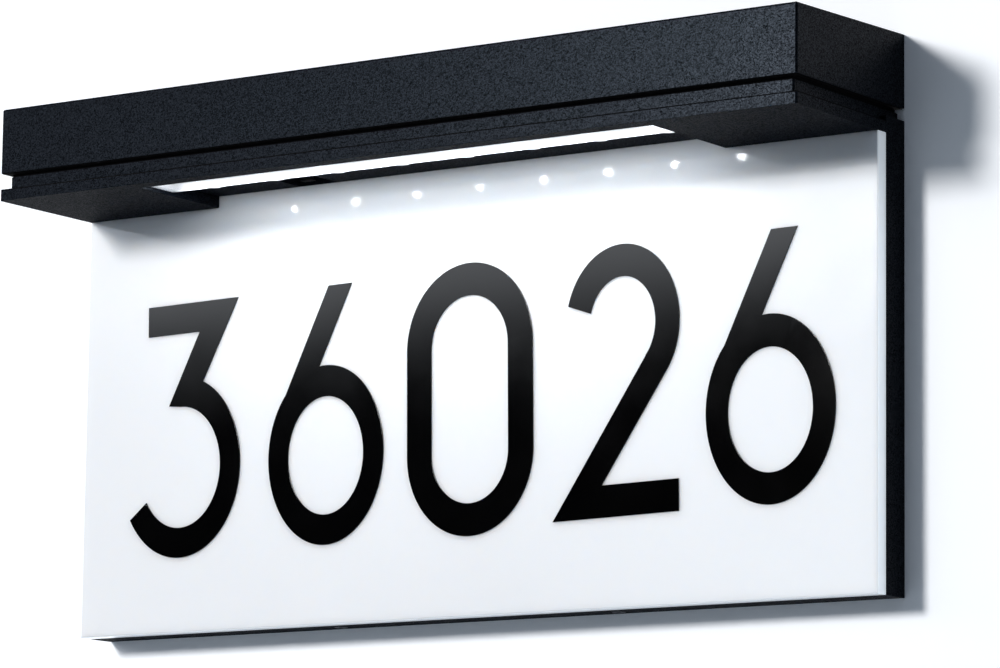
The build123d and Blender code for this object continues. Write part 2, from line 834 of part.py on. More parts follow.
with BuildPart() as back_plate:
    with BuildSketch(Plane.XZ):
        with Locations((0, (plate_top + sign_bottom) / 2)):
            Rectangle(sign_width, plate_top - sign_bottom)
    extrude(amount=back_depth)
    with BuildSketch(Plane.XZ):
        with Locations((0, (cavity_top + cavity_bottom) / 2)):
            Rectangle(sign_width - 2 * rim_wall, cavity_top - cavity_bottom)
    extrude(amount=back_depth - back_wall, mode=Mode.SUBTRACT)
    for side in (-1, 1):
        rim_span = sorted((side * half_width, side * (half_width - rim_wall)))
        block(rim_span, (back_front, 0), (plate_top, plate_top + rim_rise))
    # Hanging rib with a groove for the bracket's lip, and the stiffening ribs under it
    cavity_floor = back_front + back_wall
    block(
        (hang_rib_end - half_width, half_width - hang_rib_end),
        (cavity_floor, rib_rear),
        (hang_height, hang_height + hang_rib_height),
    )
    block(
        (-shelf_length / 2 - edge_radius, shelf_length / 2 + edge_radius),
        (-shelf_depth - fit_gap, bracket_sheet + fit_gap - shelf_depth),
        (hang_height, hang_height + lip_height + fit_gap),
        mode=Mode.SUBTRACT,
    )
    for x in (-side_rib_place, 0, side_rib_place):
        rib_top = hang_height - 2 * bracket_sheet if x == 0 else hang_height
        block(
            (x - rib_wall / 2, x + rib_wall / 2),
            (cavity_floor, rib_rear),
            (cavity_bottom, rib_top),
        )
    # Recesses for the tape, holes for the hood screws and the locking screws
    for z in tape_places:
        block(
            (-tape_length / 2, tape_length / 2),
            (back_front, back_front + tape_height),
            (z - tape_width / 2, z + tape_width / 2),
            mode=Mode.SUBTRACT,
        )
    for x, y in hood_screw_spots:
        post(x, y, cavity_top, m3_clear, back_wall, mode=Mode.SUBTRACT)
    for side in (-1, 1):
        post(side * foot_tab_place, locking_y, sign_bottom, m3_clear, rim_wall, mode=Mode.SUBTRACT)
        with Locations((side * foot_tab_place, locking_y, sign_bottom)):
            Cone(
                locking_head_radius + fit_gap / 2,
                m3_clear,
                locking_head_height,
                align=(Align.CENTER, Align.CENTER, Align.MIN),
                mode=Mode.SUBTRACT,
            )
save(back_plate, "back_plate")

# ---- wall bracket ----

with BuildPart() as wall_bracket:
    with BuildSketch(Plane.XZ):
        with Locations((0, (hang_height + bracket_foot) / 2)):
            RectangleRounded(bracket_width, hang_height - bracket_foot, 4 * edge_radius)
        Rectangle(bracket_window_width, bracket_window_height, mode=Mode.SUBTRACT)
        with GridLocations(bracket_hole_span_x, bracket_hole_span_z, 2, 2):
            Circle(bracket_hole_radius, mode=Mode.SUBTRACT)
    extrude(amount=bracket_sheet)
    # Shelf and lip at the top, two threaded tabs at the foot
    block(
        (-shelf_length / 2, shelf_length / 2),
        (-shelf_depth, 0),
        (hang_height - bracket_sheet, hang_height),
    )
    block(
        (-shelf_length / 2, shelf_length / 2),
        (-shelf_depth, bracket_sheet - shelf_depth),
        (hang_height - bracket_sheet, hang_height + lip_height),
    )
    for side in (-1, 1):
        tab = (side * foot_tab_place - foot_tab_length / 2, side * foot_tab_place + foot_tab_length / 2)
        block(tab, (-foot_tab_depth, 0), (bracket_foot, bracket_foot + bracket_sheet))
        post(side * foot_tab_place, locking_y, bracket_foot, m3_thread, bracket_sheet, mode=Mode.SUBTRACT)
save(wall_bracket, "wall_bracket")

# ---- face panel, tape and numerals ----

tongue_half = cutout_length / 2 - fit_gap

with BuildPart() as face_panel:
    with BuildSketch(Plane.XZ.offset(back_depth)):
        with Locations((0, (underside + sign_bottom) / 2)):
            Rectangle(sign_width, underside - sign_bottom)
        with Locations((0, (underside + plate_top) / 2)):
            Rectangle(2 * tongue_half, plate_height)
    extrude(amount=panel_thickness)
    front_rim_edges = face_panel.faces().sort_by(Axis.Y)[0].edges().filter_by(
        lambda edge: edge.center().Z < underside - panel_chamfer
    )
    chamfer(front_rim_edges, length=panel_chamfer)
save(face_panel, "face_panel")

with BuildPart() as panel_tape:
    for z in tape_places:
        block(
            (-tape_length / 2, tape_length / 2),
            (back_front, back_front + tape_height),
            (z - tape_width / 2, z + tape_width / 2),
        )
save(panel_tape, "panel_tape")

unit = numeral_height / drawn_height
numeral_row_z = (underside + sign_bottom) / 2 - numeral_row_drop


def scaled(*points):
    # Outline points drawn on a height of 110, at the numerals' real height
    return [(unit * across, unit * up) for across, up in points]


def numeral_plane(centre):
    # The plane of a numeral whose middle stands at this place along the row
    climb = math.radians(numeral_row_slope)
    return Plane(
        origin=(centre * math.cos(climb), panel_front, numeral_row_z + centre * math.sin(climb)),
        x_dir=(math.cos(climb), 0, math.sin(climb)),
        z_dir=(0, -1, 0),
    )


def draw_oval(centre, radii, mode=Mode.ADD):
    with Locations(*scaled(centre)):
        Ellipse(unit * radii[0], unit * radii[1], mode=mode)


# Three: a flat bar, a slanted stroke and an open oval bowl
three_bowl = (-2.5, -16.0)
with BuildPart() as numeral_three:
    with BuildSketch(numeral_plane(three_place)):
        draw_oval(three_bowl, (32.5, 39.2))
        draw_oval(three_bowl, (21.7, 26.2), mode=Mode.SUBTRACT)
        Polygon(
            *scaled(three_bowl, (-2.5, 40), (-62.5, 40), (-62.5, -62.0)),
            align=None,
            mode=Mode.SUBTRACT,
        )
        Polygon(
            *scaled(
                (-20.4, 55.2),
                (28.8, 55.2),
                (9.7, 20.3),
                (0.5, 14.0),
                (-2.5, 10.2),
                (-8.8, 10.9),
                (7.7, 42.1),
                (-20.4, 42.1),
            ),
            align=None,
        )
    extrude(amount=numeral_thickness)
save(numeral_three, "numeral_three")

# Six: an oval ring with a straight slanted stem
six_places = {"numeral_six_left": six_left_place, "numeral_six_right": six_right_place}
for label, place in six_places.items():
    with BuildPart() as numeral_six:
        with BuildSketch(numeral_plane(place)):
            draw_oval((0, -17.1), (30.2, 38.2))
            Polygon(*scaled((1.4, 55.1), (13.8, 55.1), (-10.4, 7.0), (-24.6, 3.3)), align=None)
            draw_oval((0, -17.3), (19.7, 25.1), mode=Mode.SUBTRACT)
        extrude(amount=numeral_thickness)
    save(numeral_six, label)

# Zero: straight sides between two half ovals
zero_straight = 22.0
with BuildPart() as numeral_zero:
    with BuildSketch(numeral_plane(zero_place)):
        for radii, mode in (((31.8, 35.1), Mode.ADD), ((19.3, 21.4), Mode.SUBTRACT)):
            for end in (-zero_straight, zero_straight):
                draw_oval((0, end), radii, mode=mode)
            Rectangle(2 * unit * radii[0], 2 * unit * zero_straight, mode=mode)
    extrude(amount=numeral_thickness)
save(numeral_zero, "numeral_zero")

# Two: an oval hook, a straight slanted stroke and a flat base
two_hook = (3.5, 24.0)
with BuildPart() as numeral_two:
    with BuildSketch(numeral_plane(two_place)):
        draw_oval(two_hook, (27.5, 32.8))
        draw_oval(two_hook, (16.0, 19.5), mode=Mode.SUBTRACT)
        Polygon(
            *scaled(
                two_hook,
                (-60.0, 46.9),
                (-60.0, -40.0),
                (46.0, -40.0),
                (46.0, -5.9),
                (25.6, 4.5),
                (14.8, 10.0),
            ),
            align=None,
            mode=Mode.SUBTRACT,
        )
        Polygon(
            *scaled(
                (25.6, 4.5),
                (14.8, 10.0),
                (-21.5, -41.3),
                (-31.0, -54.5),
                (29.9, -54.5),
                (29.9, -41.3),
                (-7.1, -41.3),
            ),
            align=None,
        )
    extrude(amount=numeral_thickness)
save(numeral_two, "numeral_two")

# ---- screws ----


def socket_screw(x, y, z, up, length, radius, head_radius, head_height, hex_radius):
    # A screw whose shank runs from z, upwards or downwards, with its head on the other side
    shank_end = Align.MIN if up > 0 else Align.MAX
    head_end = Align.MAX if up > 0 else Align.MIN
    with Locations((x, y, z)):
        Cylinder(radius, length, align=(Align.CENTER, Align.CENTER, shank_end))
        Cylinder(head_radius, head_height, align=(Align.CENTER, Align.CENTER, head_end))
    with BuildSketch(Plane.XY.offset(z - up * head_height)) as socket:
        with Locations((x, y)):
            RegularPolygon(hex_radius, 6)
    extrude(socket.sketch, amount=up * socket_share * head_height, mode=Mode.SUBTRACT)


m3_sizes = (m3_radius, m3_head_radius, m3_head_height, m3_hex)
small_sizes = (small_radius, small_head_radius, small_head_height, small_hex)

with BuildPart() as hood_screws:
    for x, y in hood_screw_spots:
        socket_screw(x, y, cavity_top, 1, hood_screw_length, *m3_sizes)
save(hood_screws, "hood_screws")

with BuildPart() as plate_screws:
    for x, y in plate_screw_spots:
        socket_screw(x, y, tray_top, -1, tray_height + plate_screw_bite, *m3_sizes)
save(plate_screws, "plate_screws")

with BuildPart() as control_board_screws:
    for x, y in standoff_spots:
        bite = small_screw_bite - thread_spare / 2
        socket_screw(x, y, board_top, -1, board_height + bite, *small_sizes)
save(control_board_screws, "control_board_screws")

with BuildPart() as holder_screws:
    for x, y in holder_screw_spots:
        bite = small_screw_bite - thread_spare / 2
        socket_screw(x, y, tray_top + holder_base, -1, holder_base + bite, *small_sizes)
save(holder_screws, "holder_screws")

with BuildPart() as switch_screws:
    for x, y in mount_screw_spots:
        bite = small_screw_bite - thread_spare / 2
        socket_screw(x, y, mount_top, -1, mount_top - tray_top + bite, *small_sizes)
save(switch_screws, "switch_screws")

with BuildPart() as locking_screws:
    for side in (-1, 1):
        with Locations((side * foot_tab_place, locking_y, sign_bottom)):
            Cylinder(m3_radius, locking_screw_length, align=(Align.CENTER, Align.CENTER, Align.MIN))
            Cone(
                locking_head_radius,
                m3_radius,
                locking_head_height,
                align=(Align.CENTER, Align.CENTER, Align.MIN),
            )
        with BuildSketch(Plane.XY.offset(sign_bottom)):
            with Locations((side * foot_tab_place, locking_y)):
                RegularPolygon(m3_hex, 6)
        extrude(amount=locking_head_height, mode=Mode.SUBTRACT)
save(locking_screws, "locking_screws")
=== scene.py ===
import json
import math
import bpy
from mathutils import Matrix, Vector


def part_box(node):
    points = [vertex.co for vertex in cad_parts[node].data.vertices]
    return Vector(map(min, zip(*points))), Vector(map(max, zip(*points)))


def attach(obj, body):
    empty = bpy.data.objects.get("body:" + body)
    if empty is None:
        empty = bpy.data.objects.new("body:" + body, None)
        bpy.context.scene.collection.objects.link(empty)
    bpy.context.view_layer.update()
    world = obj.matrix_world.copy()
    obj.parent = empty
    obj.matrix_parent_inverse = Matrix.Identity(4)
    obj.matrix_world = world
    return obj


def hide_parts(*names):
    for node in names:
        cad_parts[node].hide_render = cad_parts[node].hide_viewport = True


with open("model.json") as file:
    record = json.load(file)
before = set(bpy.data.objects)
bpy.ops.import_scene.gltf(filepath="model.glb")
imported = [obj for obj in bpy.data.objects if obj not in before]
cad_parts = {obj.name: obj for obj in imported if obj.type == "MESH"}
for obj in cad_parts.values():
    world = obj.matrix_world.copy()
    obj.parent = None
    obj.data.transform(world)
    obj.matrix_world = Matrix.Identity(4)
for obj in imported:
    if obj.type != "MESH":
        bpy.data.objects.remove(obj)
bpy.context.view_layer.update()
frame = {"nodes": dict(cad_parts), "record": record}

# A lit house number sign on its wall bracket: camera and light first, then the finishes, then the
# pieces that are modelled here. Metres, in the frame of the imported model: X right, Y into the wall, Z up.


def deselectAll():
    if bpy.context.object and bpy.context.object.mode != "OBJECT":
        bpy.ops.object.mode_set(mode="OBJECT")
    bpy.ops.object.select_all(action="DESELECT")


def makeActive(piece):
    deselectAll()
    piece.select_set(True)
    bpy.context.view_layer.objects.active = piece


def link(name, data):
    thing = bpy.data.objects.new(name, data)
    bpy.context.collection.objects.link(thing)
    return thing


# Camera at the photograph's angle
cameraSetup = {
    "azimuth": 34.9052,  # degrees right of straight on
    "elevation": -8.9368,  # the camera looks up a little
    "roll": 0.7151,
    "distance": 2.0285,
    "target": (0.0056, 0.0, 0.027),
    "lens": 175.014,
    "sensorWidth": 36.0,
}


def addCamera(setup):
    azimuth, elevation, roll = (math.radians(setup[key]) for key in ("azimuth", "elevation", "roll"))
    back = Vector((
        math.sin(azimuth) * math.cos(elevation),
        -math.cos(azimuth) * math.cos(elevation),
        math.sin(elevation),
    ))
    right = (-back).cross(Vector((0, 0, 1))).normalized()
    up = right.cross(-back)
    turnedRight = math.cos(roll) * right + math.sin(roll) * up
    turnedUp = math.cos(roll) * up - math.sin(roll) * right
    data = bpy.data.cameras.new("photoCamera")
    data.lens = setup["lens"]
    data.sensor_width = setup["sensorWidth"]
    data.clip_start = 0.01
    camera = link("photoCamera", data)
    pose = Matrix((turnedRight, turnedUp, back)).transposed().to_4x4()
    pose.translation = Vector(setup["target"]) + back * setup["distance"]
    camera.matrix_world = pose
    bpy.context.scene.camera = camera


addCamera(cameraSetup)
bpy.context.scene.view_settings.view_transform = "Standard"
print("camera placed")


# Wall, floor and light
stageSetup = {
    "wallGap": 0.0004,  # the wall stands this far behind the sign's back
    "wallSize": (7.0, 3.4),
    "opening": (0.188, -0.086, 0.086),  # half width, foot and top of a hole that lets the sign's back be seen
    "floorLevel": -0.75,
    "floorSize": 14.0,
    "paint": (0.34, 0.38, 0.42),
    "seenPaint": (1.15, 1.16, 1.18),
}
lightSetup = {
    "keyFrom": (-0.85, -2.35, 0.64),
    "keySize": 0.47,
    "keyPower": 50.0,
    "fillFrom": (-0.7, 2.2, 0.45),
    "fillSize": 1.6,
    "fillPower": 42.0,
    "dark": (0.004, 0.0045, 0.0055),
    "dim": (0.14, 0.16, 0.19),
    "right": (0.14, 0.165, 0.20),
    "bright": (2.2, 2.3, 2.45),
    "lowerEdge": (0.2235, 0.2545),  # a bright screen stands left of the camera; its lower edge fades
    "upperEdge": (0.34, 0.46),
    "sideEdge": (0.30, 0.42),
    "frontEdge": (0.1, 0.4),
    "rightEdge": (0.1, 0.5),
    "screenFoot": 0.25,
    "tilt": -0.14,
}


def stageMaterial(name, paint, seenPaint):
    # Paint that is seen white, directly and in gloss and glass, sends back less light, and is clear from behind
    material = bpy.data.materials.new(name)
    material.use_nodes = True
    nodes, links = material.node_tree.nodes, material.node_tree.links
    nodes.clear()

    def larger(first, second):
        node = nodes.new("ShaderNodeMath")
        node.operation = "MAXIMUM"
        links.new(first, node.inputs[0])
        links.new(second, node.inputs[1])
        return node.outputs["Value"]

    output = nodes.new("ShaderNodeOutputMaterial")
    rays = nodes.new("ShaderNodeLightPath").outputs
    geometry = nodes.new("ShaderNodeNewGeometry")
    lit = nodes.new("ShaderNodeBsdfDiffuse")
    clear = nodes.new("ShaderNodeBsdfTransparent")
    tint = nodes.new("ShaderNodeMix")
    tint.data_type = "RGBA"
    tint.inputs["A"].default_value = (*paint, 1)
    tint.inputs["B"].default_value = (*seenPaint, 1)
    seen = larger(larger(rays["Is Camera Ray"], rays["Is Glossy Ray"]), rays["Is Transmission Ray"])
    links.new(seen, tint.inputs["Factor"])
    links.new(tint.outputs["Result"], lit.inputs["Color"])
    mix = nodes.new("ShaderNodeMixShader")
    links.new(larger(geometry.outputs["Backfacing"], rays["Is Shadow Ray"]), mix.inputs["Fac"])
    links.new(lit.outputs["BSDF"], mix.inputs[1])
    links.new(clear.outputs["BSDF"], mix.inputs[2])
    links.new(mix.outputs["Shader"], output.inputs["Surface"])
    return material


def addStage(setup):
    width, height = setup["wallSize"]
    side, foot, top = setup["opening"]
    bottom = setup["floorLevel"]
    outer = [(-width / 2, bottom), (width / 2, bottom), (width / 2, bottom + height), (-width / 2, bottom + height)]
    inner = [(-side, foot), (side, foot), (side, top), (-side, top)]
    corners = [(x, setup["wallGap"], z) for x, z in outer + inner]
    faces = [(i, (i + 1) % 4, (i + 1) % 4 + 4, i + 4) for i in range(4)]
    mesh = bpy.data.meshes.new("wall")
    mesh.from_pydata(corners, [], faces)
    wall = link("wall", mesh)
    bpy.ops.mesh.primitive_plane_add(size=setup["floorSize"], location=(0, 0, bottom))
    floor = bpy.context.object
    floor.name = "floor"
    paint = stageMaterial("stagePaint", setup["paint"], setup["seenPaint"])
    for part in (wall, floor):
        part.data.materials.append(paint)


def addSoftbox(name, place, size, power):
    data = bpy.data.lights.new(name, "AREA")
    data.shape = "DISK"
    data.size = size
    data.energy = power
    lamp = link(name, data)
    lamp.location = place
    lamp.rotation_euler = (-Vector(place)).to_track_quat("-Z", "Y").to_euler()
    lamp.visible_camera = False


def addSky(setup):
    # Dim all round, with one bright screen that the glossy numerals reflect towards their tops
    world = bpy.data.worlds.new("studio")
    bpy.context.scene.world = world
    world.use_nodes = True
    nodes, links = world.node_tree.nodes, world.node_tree.links
    nodes.clear()
    output = nodes.new("ShaderNodeOutputWorld")
    path = nodes.new("ShaderNodeLightPath")
    coordinates = nodes.new("ShaderNodeTexCoord")

    def along(axis):
        dot = nodes.new("ShaderNodeVectorMath")
        dot.operation = "DOT_PRODUCT"
        dot.inputs[1].default_value = axis
        links.new(coordinates.outputs["Generated"], dot.inputs[0])
        return dot.outputs["Value"]

    def fade(value, start, end, low=0.0, high=1.0):
        remap = nodes.new("ShaderNodeMapRange")
        remap.interpolation_type = "SMOOTHSTEP"
        for key, number in zip(("From Min", "From Max", "To Min", "To Max"), (start, end, low, high)):
            remap.inputs[key].default_value = number
        links.new(value, remap.inputs["Value"])
        return remap.outputs["Result"]

    def product(values):
        result = values[0]
        for value in values[1:]:
            times = nodes.new("ShaderNodeMath")
            times.operation = "MULTIPLY"
            links.new(result, times.inputs[0])
            links.new(value, times.inputs[1])
            result = times.outputs["Value"]
        return result

    rise = along((setup["tilt"], 0, 1))
    screen = product([
        fade(rise, *setup["lowerEdge"]),
        fade(rise, *setup["lowerEdge"], setup["screenFoot"], 1.0),
        fade(along((0, 0, 1)), *setup["upperEdge"], 1.0, 0.0),
        fade(along((-1, 0, 0)), *setup["sideEdge"]),
        fade(along((0, -1, 0)), *setup["frontEdge"]),
    ])
    tone = None
    layers = (
        (fade(rise, *setup["lowerEdge"]), setup["dim"]),
        (fade(along((1, 0, 0)), *setup["rightEdge"]), setup["right"]),
        (screen, setup["bright"]),
    )
    for factor, color in layers:
        mix = nodes.new("ShaderNodeMix")
        mix.data_type = "RGBA"
        mix.inputs["A"].default_value = (*setup["dark"], 1)
        if tone:
            links.new(tone, mix.inputs["A"])
        mix.inputs["B"].default_value = (*color, 1)
        links.new(factor, mix.inputs["Factor"])
        tone = mix.outputs["Result"]
    studio = nodes.new("ShaderNodeBackground")
    backdrop = nodes.new("ShaderNodeBackground")
    backdrop.inputs["Color"].default_value = (1, 1, 1, 1)
    mix = nodes.new("ShaderNodeMixShader")
    links.new(tone, studio.inputs["Color"])
    links.new(path.outputs["Is Camera Ray"], mix.inputs["Fac"])
    links.new(studio.outputs["Background"], mix.inputs[1])
    links.new(backdrop.outputs["Background"], mix.inputs[2])
    links.new(mix.outputs["Shader"], output.inputs["Surface"])


addStage(stageSetup)
addSoftbox("keyLight", lightSetup["keyFrom"], lightSetup["keySize"], lightSetup["keyPower"])
addSoftbox("backFill", lightSetup["fillFrom"], lightSetup["fillSize"], lightSetup["fillPower"])
addSky(lightSetup)
print("wall, floor and light placed")


class Finish:
    # A material with one Principled shader, built up by the methods below
    def __init__(self, name, color, roughness, metallic=0.0, specular=0.5, coat=0.0):
        self.material = bpy.data.materials.new(name)
        self.material.use_nodes = True
        self.nodes = self.material.node_tree.nodes
        self.links = self.material.node_tree.links
        self.shader = self.nodes["Principled BSDF"]
        self.shader.inputs["Base Color"].default_value = (*color, 1)
        self.shader.inputs["Roughness"].default_value = roughness
        self.shader.inputs["Metallic"].default_value = metallic
        self.shader.inputs["Specular IOR Level"].default_value = specular
        self.shader.inputs["Coat Weight"].default_value = coat
        self.shader.inputs["Coat Roughness"].default_value = 0.1
        self.color = color
        self.place = self.nodes.new("ShaderNodeTexCoord").outputs["Object"]

    def axes(self):
        split = self.nodes.new("ShaderNodeSeparateXYZ")
        self.links.new(self.place, split.inputs["Vector"])
        return split.outputs

    def stretched(self, scale):
        mapping = self.nodes.new("ShaderNodeMapping")
        mapping.inputs["Scale"].default_value = scale
        self.links.new(self.place, mapping.inputs["Vector"])
        return mapping.outputs["Vector"]

    def noise(self, size, detail=2.0, stretch=None):
        # size is the width of one lump, in metres
        texture = self.nodes.new("ShaderNodeTexNoise")
        texture.inputs["Scale"].default_value = 1 / size
        texture.inputs["Detail"].default_value = detail
        self.links.new(self.stretched(stretch) if stretch else self.place, texture.inputs["Vector"])
        return texture.outputs["Fac"]

    def cells(self, size, feature="F1"):
        texture = self.nodes.new("ShaderNodeTexVoronoi")
        texture.feature = feature
        texture.inputs["Scale"].default_value = 1 / size
        self.links.new(self.place, texture.inputs["Vector"])
        return texture.outputs["Distance"]

    def grains(self, size):
        # One chance value for each grain of about this width
        texture = self.nodes.new("ShaderNodeTexVoronoi")
        texture.inputs["Scale"].default_value = 1 / size
        self.links.new(self.place, texture.inputs["Vector"])
        split = self.nodes.new("ShaderNodeSeparateColor")
        self.links.new(texture.outputs["Color"], split.inputs["Color"])
        return split.outputs["Red"]

    def spread(self, value, low, high, start=0.3, end=0.7):
        remap = self.nodes.new("ShaderNodeMapRange")
        remap.inputs["From Min"].default_value = start
        remap.inputs["From Max"].default_value = end
        remap.inputs["To Min"].default_value = low
        remap.inputs["To Max"].default_value = high
        self.links.new(value, remap.inputs["Value"])
        return remap.outputs["Result"]

    def join(self, operation, first, second=None):
        # One step of arithmetic on one or two values
        node = self.nodes.new("ShaderNodeMath")
        node.operation = operation
        self.links.new(first, node.inputs[0])
        if second is not None:
            self.links.new(second, node.inputs[1])
        return node.outputs["Value"]

    def tint(self, value, other, amount=1.0):
        # Mixes another colour over what the shader has so far, where the value is high
        mix = self.nodes.new("ShaderNodeMix")
        mix.data_type = "RGBA"
        socket = self.shader.inputs["Base Color"]
        if socket.is_linked:
            self.links.new(socket.links[0].from_socket, mix.inputs["A"])
        else:
            mix.inputs["A"].default_value = (*self.color, 1)
        mix.inputs["B"].default_value = (*other, 1)
        self.links.new(self.spread(value, 0.0, amount, 0.0, 1.0), mix.inputs["Factor"])
        self.links.new(mix.outputs["Result"], socket)
        return self

    def vary(self, value, low, high, start=0.3, end=0.7):
        self.links.new(self.spread(value, low, high, start, end), self.shader.inputs["Roughness"])
        return self

    def bump(self, value, height):
        # height in metres between the lowest and highest places
        node = self.nodes.new("ShaderNodeBump")
        node.inputs["Strength"].default_value = 1.0
        node.inputs["Distance"].default_value = height
        self.links.new(value, node.inputs["Height"])
        socket = self.shader.inputs["Normal"]
        if socket.is_linked:
            self.links.new(socket.links[0].from_socket, node.inputs["Normal"])
        self.links.new(node.outputs["Normal"], socket)
        return self

    def glow(self, color, strength):
        self.shader.inputs["Emission Color"].default_value = (*color, 1)
        self.shader.inputs["Emission Strength"].default_value = strength
        return self


def shade(color, factor):
    return tuple(factor * part for part in color)


def powderCoat():
    # Sandy black coat: grains of unlike gloss, duller where they are seen at a flat angle
    setup = {
        "color": (0.0003, 0.0006, 0.0012),
        "speck": (0.0044, 0.0058, 0.0090),
        "grain": 0.00041,
        "pebble": 0.0013,
        "grainHeight": 0.000030,
        "pebbleHeight": 0.000012,
        "specular": (0.006, 0.106),
        "roughness": (0.24, 0.40),
        "roughnessGrain": 0.0007,
        "flatAngleRoughness": 0.28,  # added where the coat is seen at a flat angle
        "roughnessAngles": (0.32, 0.75),
        "flatAngleGloss": 0.28,  # share of the gloss that is left there
        "glossAngles": (0.30, 0.84),
        "specularTint": (0.66, 0.80, 1.0),
    }
    finish = Finish("powderCoat", setup["color"], 0.36)
    finish.shader.inputs["Specular Tint"].default_value = (*setup["specularTint"], 1)
    grain = finish.grains(setup["grain"])
    finish.tint(grain, setup["speck"])
    angle = finish.nodes.new("ShaderNodeLayerWeight")
    angle.inputs["Blend"].default_value = 0.5
    gloss = finish.join(
        "MULTIPLY",
        finish.spread(grain, *setup["specular"], 0.0, 1.0),
        finish.spread(angle.outputs["Facing"], 1.0, setup["flatAngleGloss"], *setup["glossAngles"]),
    )
    finish.links.new(gloss, finish.shader.inputs["Specular IOR Level"])
    roughness = finish.join(
        "ADD",
        finish.spread(finish.noise(setup["roughnessGrain"]), *setup["roughness"]),
        finish.spread(angle.outputs["Facing"], 0.0, setup["flatAngleRoughness"], *setup["roughnessAngles"]),
    )
    finish.links.new(roughness, finish.shader.inputs["Roughness"])
    finish.bump(finish.cells(setup["pebble"], "SMOOTH_F1"), setup["pebbleHeight"])
    finish.bump(finish.noise(setup["grain"], detail=1.0), setup["grainHeight"])
    return finish.material


def sealRubber():
    finish = Finish("sealRubber", (0.0012, 0.0012, 0.0015), 0.85, specular=0.04)
    finish.tint(finish.noise(0.004, detail=3.0), (0.0024, 0.0024, 0.0028))
    finish.bump(finish.noise(0.0007, detail=2.0), 0.00003)
    return finish.material


def clearLens():
    # Clear cover that carries the lamps' glow in its body, and stays grey at its left end, past the last lamp
    lit = {"glow": (0.12, 1.25), "from": (-0.1262, -0.1225)}
    finish = Finish("clearLens", (0.42, 0.44, 0.47), 0.12)
    finish.shader.inputs["Emission Color"].default_value = (0.93, 0.96, 1.0, 1)
    strength = finish.spread(finish.axes()["X"], *lit["glow"], *lit["from"])
    finish.links.new(strength, finish.shader.inputs["Emission Strength"])
    finish.shader.inputs["Alpha"].default_value = 0.4
    finish.vary(finish.noise(0.006, detail=3.0), 0.08, 0.18)
    return finish.material


def lampDome():
    # Clear silicone over the lit phosphor
    finish = Finish("lampDome", (1.0, 0.96, 0.85), 0.2)
    finish.tint(finish.noise(0.0008), (1.0, 0.9, 0.6), 0.3)
    finish.glow((0.90, 0.95, 1.0), 90.0)
    return finish.material


def lampCase():
    finish = Finish("lampCase", (0.85, 0.85, 0.83), 0.4)
    finish.tint(finish.noise(0.0006, detail=3.0), (0.78, 0.78, 0.75))
    return finish.material


def lampBoard():
    finish = Finish("lampBoard", (0.82, 0.83, 0.84), 0.35)
    finish.tint(finish.noise(0.02, detail=3.0), (0.74, 0.76, 0.78))
    finish.bump(finish.noise(0.0012), 0.00001)
    return finish.material


def componentBlack():
    finish = Finish("componentBlack", (0.025, 0.025, 0.028), 0.5)
    finish.tint(finish.noise(0.0006, detail=3.0), (0.045, 0.045, 0.05))
    finish.vary(finish.noise(0.002), 0.4, 0.6)
    return finish.material


def naturalNylon():
    finish = Finish("naturalNylon", (0.72, 0.69, 0.58), 0.45)
    finish.tint(finish.noise(0.002, detail=3.0), (0.64, 0.6, 0.5))
    finish.shader.inputs["Subsurface Weight"].default_value = 0.15
    finish.shader.inputs["Subsurface Radius"].default_value = (0.001, 0.0009, 0.0007)
    return finish.material


def mouldedBlack(name="mouldedBlack", color=(0.018, 0.018, 0.02), roughness=0.5, specular=0.5):
    finish = Finish(name, color, roughness, specular=specular)
    finish.tint(finish.noise(0.0009, detail=2.0), shade(color, 1.8))
    finish.vary(finish.noise(0.004), roughness - 0.08, roughness + 0.08)
    finish.bump(finish.noise(0.0004), 0.00001)
    return finish.material


def whiteAcrylic():
    # Painted light: emission brightens the sheet's polished ends and its foot, standing in for light that the sheet
    # carries to them, and the right part of its face below the hood's shadow. In each row: the two strengths, or
    # shares, and where along an axis the first turns into the second.
    glow = {
        "ends": (0.0, 0.45, 0.1995, 0.1999),
        "endsHeight": (1.0, 0.64, 0.03, 0.085),
        "side": (0.0, 0.13, 0.02, 0.19),
        "sideHeight": (1.0, 0.0, 0.070, 0.080),
        "foot": (0.32, 0.0, -0.0930, -0.0927),
    }
    finish = Finish("whiteAcrylic", (0.875, 0.885, 0.905), 0.06)
    finish.tint(finish.noise(0.06, detail=5.0), (0.855, 0.865, 0.89))
    finish.vary(finish.noise(0.02, detail=6.0), 0.045, 0.085)
    finish.shader.inputs["Subsurface Weight"].default_value = 0.8
    finish.shader.inputs["Subsurface Radius"].default_value = (0.0055, 0.0060, 0.0066)
    finish.shader.inputs["Subsurface Scale"].default_value = 1.0
    axes = finish.axes()
    across, height = axes["X"], axes["Z"]
    # Painted light on the polished ends, weaker towards the top
    ends = finish.join(
        "MULTIPLY",
        finish.spread(finish.join("ABSOLUTE", across), *glow["ends"]),
        finish.spread(height, *glow["endsHeight"]),
    )
    # Painted light on the right part of the face, growing towards the right end and stopping under the hood's
    # shadow
    side = finish.join("MULTIPLY", finish.spread(across, *glow["side"]), finish.spread(height, *glow["sideHeight"]))
    # Painted highlight along the foot
    foot = finish.spread(height, *glow["foot"])
    finish.shader.inputs["Emission Color"].default_value = (0.86, 0.94, 1.0, 1)
    strength = finish.join("MAXIMUM", finish.join("MAXIMUM", ends, foot), side)
    finish.links.new(strength, finish.shader.inputs["Emission Strength"])
    return finish.material


def foamTape():
    finish = Finish("foamTape", (0.55, 0.55, 0.53), 0.8)
    finish.tint(finish.cells(0.0008), (0.4, 0.4, 0.39))
    finish.bump(finish.cells(0.0006), 0.00005)
    return finish.material


def numeralBlack():
    # Gloss black with next to no colour of its own, so that it shows what it reflects
    finish = Finish("numeralBlack", (0.0003, 0.0003, 0.0004), 0.05)
    finish.vary(finish.noise(0.03, detail=5.0), 0.04, 0.07)
    finish.tint(finish.noise(0.0015, detail=2.0), (0.0007, 0.0007, 0.0008))
    return finish.material


